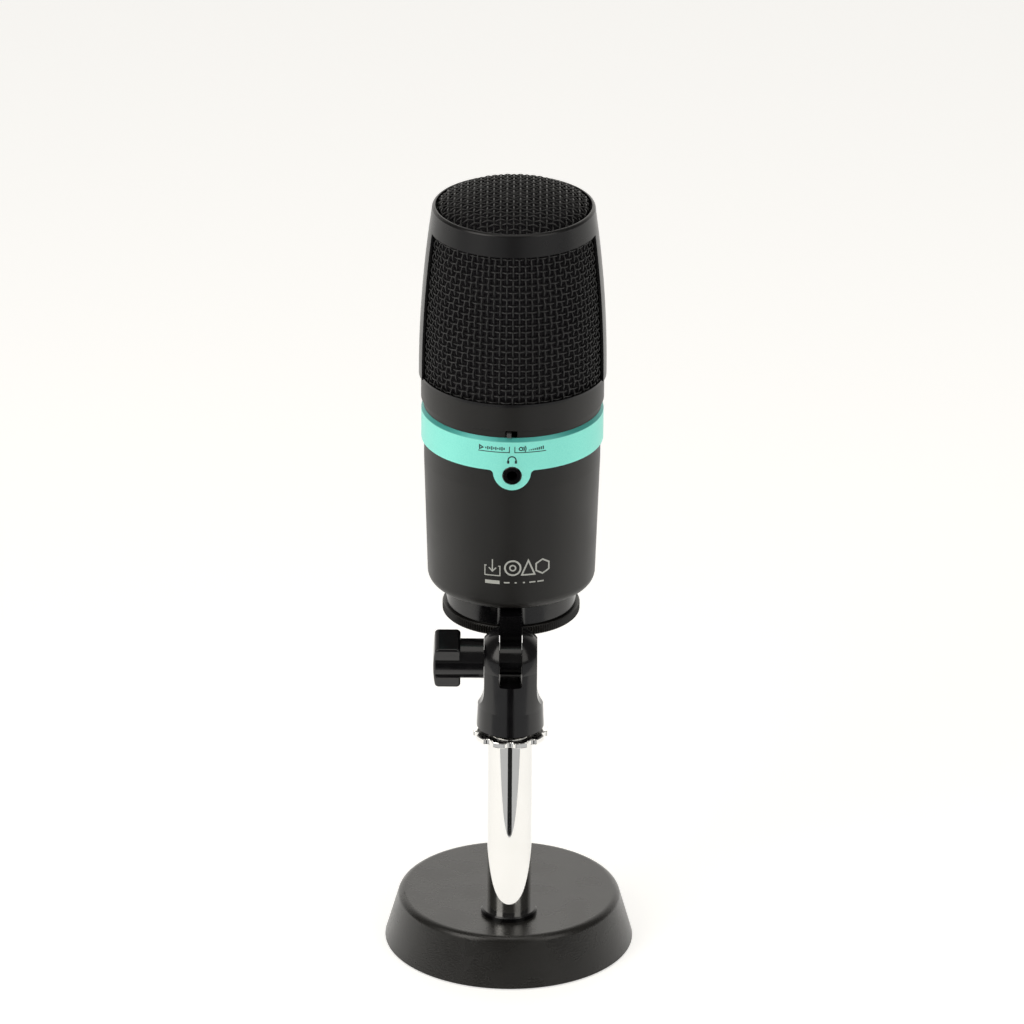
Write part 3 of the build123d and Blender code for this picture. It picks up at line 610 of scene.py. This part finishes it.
def flatCard(name, corners, colour, glowColour, glow):
    mesh = bpy.data.meshes.new(name)
    mesh.from_pydata(corners, [], [tuple(range(len(corners)))])
    card = bpy.data.objects.new(name, mesh)
    bpy.context.scene.collection.objects.link(card)
    material = bpy.data.materials.new(name)
    material.use_nodes = True
    surface = material.node_tree.nodes["Principled BSDF"]
    surface.inputs["Base Color"].default_value = shade(colour)
    surface.inputs["Roughness"].default_value = 0.9
    surface.inputs["Specular IOR Level"].default_value = 0.1
    surface.inputs["Emission Color"].default_value = shade(glowColour)
    surface.inputs["Emission Strength"].default_value = glow
    mesh.materials.append(material)
    return card


studio = {"floorHalf": 6.0, "floorColour": (0.8, 0.795, 0.78), "floorGlow": 0.74,
          "backLight": 1.45, "frontLight": 0.13, "backFrom": 0.35, "backTo": 0.92,
          "deskEdge": -0.128, "gapTurn": 11.0, "gapReach": 2.4,
          "room": 0.55, "gap": 0.012, "cardLift": 0.4 * mm,
          "lightColour": (1.0, 0.97, 0.92), "skyColour": (1.0, 0.975, 0.93)}


# the desk's front edge and the darker room beyond it, which only shine shows, with a darker gap
# in the middle between the two soft boxes
def floorAndRoom():
    half, edge = studio["floorHalf"], studio["deskEdge"]
    flatCard("floor", [(-half, -half, 0), (half, -half, 0), (half, half, 0), (-half, half, 0)],
             studio["floorColour"], studio["floorColour"], studio["floorGlow"])
    tubeLow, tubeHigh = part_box("stand_tube")
    tubeY = (tubeLow.y + tubeHigh.y) / 2
    black, white = (0, 0, 0), (1, 1, 1)
    above = studio["cardLift"]
    room = flatCard("room", [(-half, -half, above), (half, -half, above), (half, edge, above),
                             (-half, edge, above)], black, white, studio["room"])
    spread = math.tan(math.radians(studio["gapTurn"]))
    near, far = tubeY - edge, studio["gapReach"]
    above *= 2
    gap = flatCard("gap", [(-near * spread, edge, above), (-far * spread, tubeY - far, above),
                           (far * spread, tubeY - far, above), (near * spread, edge, above)],
                   black, white, studio["gap"])
    for card in (room, gap):
        card.visible_camera = False
        card.visible_diffuse = False
        card.visible_shadow = False


softBoxes = {
    "left_box": {"turn": -50, "rise": 32, "away": 0.9, "size": (0.5, 0.8), "power": 3.4},
    "right_box": {"turn": 46, "rise": 30, "away": 0.9, "size": (0.5, 0.8), "power": 1.6},
    "top_box": {"turn": 10, "rise": 80, "away": 1.1, "size": (0.7, 0.7), "power": 2.0},
}


# turns an object so that its -Z looks from `place` to `aim`
def lookAt(thing, place, aim, roll=0.0):
    direction = Vector(aim) - Vector(place)
    facing = direction.to_track_quat("-Z", "Y").to_matrix().to_4x4()
    thing.matrix_world = Matrix.Translation(place) @ facing @ Matrix.Rotation(math.radians(roll), 4, "Z")


def lights():
    aim = (0, 0, 0.15)
    for name, s in softBoxes.items():
        data = bpy.data.lights.new(name, "AREA")
        data.shape, data.size, data.size_y = "RECTANGLE", *s["size"]
        data.energy = s["power"]
        data.color = studio["lightColour"]
        lamp = bpy.data.objects.new(name, data)
        bpy.context.scene.collection.objects.link(lamp)
        turn, rise = math.radians(s["turn"]), math.radians(s["rise"])
        place = (s["away"] * math.sin(turn) * math.cos(rise), -s["away"] * math.cos(turn) * math.cos(rise),
                 aim[2] + s["away"] * math.sin(rise))
        lookAt(lamp, place, aim)
    world = bpy.data.worlds.new("studio")
    bpy.context.scene.world = world
    world.use_nodes = True
    tree = world.node_tree
    background = tree.nodes["Background"]
    place, split, blend = [tree.nodes.new("ShaderNode" + kind)
                           for kind in ("TexCoord", "SeparateXYZ", "MapRange")]
    tree.links.new(place.outputs["Generated"], split.inputs[0])
    tree.links.new(split.outputs["Y"], blend.inputs["Value"])
    background.inputs["Color"].default_value = shade(studio["skyColour"])
    for socketName, value in (("From Min", studio["backFrom"]), ("From Max", studio["backTo"]),
                              ("To Min", studio["frontLight"]), ("To Max", studio["backLight"])):
        blend.inputs[socketName].default_value = value
    tree.links.new(blend.outputs[0], background.inputs["Strength"])


def camera():
    s = {"place": (0.0001, -2.816, 1.4235), "aim": (0.0001, 0.005, 0.16323), "lens": 309.4, "roll": 0.4}
    data = bpy.data.cameras.new("camera")
    data.lens, data.sensor_width, data.clip_end = s["lens"], 36, 50
    eye = bpy.data.objects.new("camera", data)
    bpy.context.scene.collection.objects.link(eye)
    lookAt(eye, s["place"], s["aim"], s["roll"])
    bpy.context.scene.camera = eye
    bpy.context.scene.view_settings.view_transform = "Standard"


floorAndRoom()
lights()
camera()
print("floor, lights and camera set")
